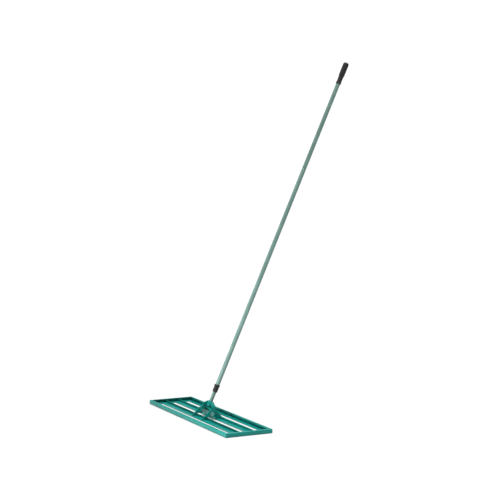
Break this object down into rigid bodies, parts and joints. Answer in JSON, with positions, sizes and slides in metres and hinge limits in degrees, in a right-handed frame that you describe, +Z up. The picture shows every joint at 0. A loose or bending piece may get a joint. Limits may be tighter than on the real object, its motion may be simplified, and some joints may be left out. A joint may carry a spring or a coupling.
{
  "type": "lawn leveling rake",
  "caption": "Lawn leveling rake: flat folded-steel grid head with lugs, and a long telescoping handle that tilts on a bolt and is held by a twist lock.",
  "frame": {"origin": "on the ground, at the middle of the flat underside of the rear slat", "axes": "+X along the head towards the bolt head, +Y towards the rear rail and the leaning handle, +Z up from the ground"},
  "size_m": [0.914, 0.9509, 1.8693],
  "materials": {
    "green_coat": "glossy deep green powder coat on folded steel",
    "pole_coat": "satin grey-green coat on steel tube",
    "zinc_steel": "dull zinc plate",
    "bright_steel": "bright drawn steel",
    "black_plastic": "moulded black nylon",
    "grip_plastic": "fluted black soft plastic",
    "pale_nylon": "natural nylon"
  },
  "bodies": {
    "head": {"front_rail": "green_coat", "rear_rail": "green_coat", "left_end_rail": "green_coat", "right_end_rail": "green_coat", "front_slat": "green_coat", "rear_slat": "green_coat", "left_lug": "green_coat", "right_lug": "green_coat", "pivot_bolt": "zinc_steel", "head_washer": "zinc_steel", "nut_washer": "zinc_steel", "pivot_nut": "zinc_steel", "nut_insert": "pale_nylon"},
    "fork": {"fork_yoke": "green_coat", "yoke_socket": "green_coat", "stub_tube": "pole_coat", "stub_guide": "pale_nylon", "pivot_sleeve": "bright_steel", "left_friction_washer": "black_plastic", "right_friction_washer": "black_plastic"},
    "pole": {"lock_body": "black_plastic", "pole_lower": "pole_coat", "pole_middle": "pole_coat", "pole_upper": "pole_coat", "pole_bush_1": "zinc_steel", "pole_bush_2": "zinc_steel", "pole_stud_1": "zinc_steel", "pole_stud_2": "zinc_steel", "grip": "grip_plastic"},
    "lock_nut": {"lock_nut": "black_plastic"}
  },
  "joints": [
    {"name": "head_pivot", "type": "hinge", "parent": "head", "child": "fork", "pos_m": [0, -0.0335, 0.03], "axis": [1, 0, 0], "range_deg": [-61, 109]},
    {"name": "pole_slide", "type": "slide", "parent": "fork", "child": "pole", "axis": [0, 0.4067, 0.9135], "range_m": [-0.04, 0.12]},
    {"name": "lock_nut_turn", "type": "hinge", "parent": "pole", "child": "lock_nut", "pos_m": [0, -0.0335, 0.03], "axis": [0, 0.4067, 0.9135], "range_deg": [0, 120]}
  ]
}
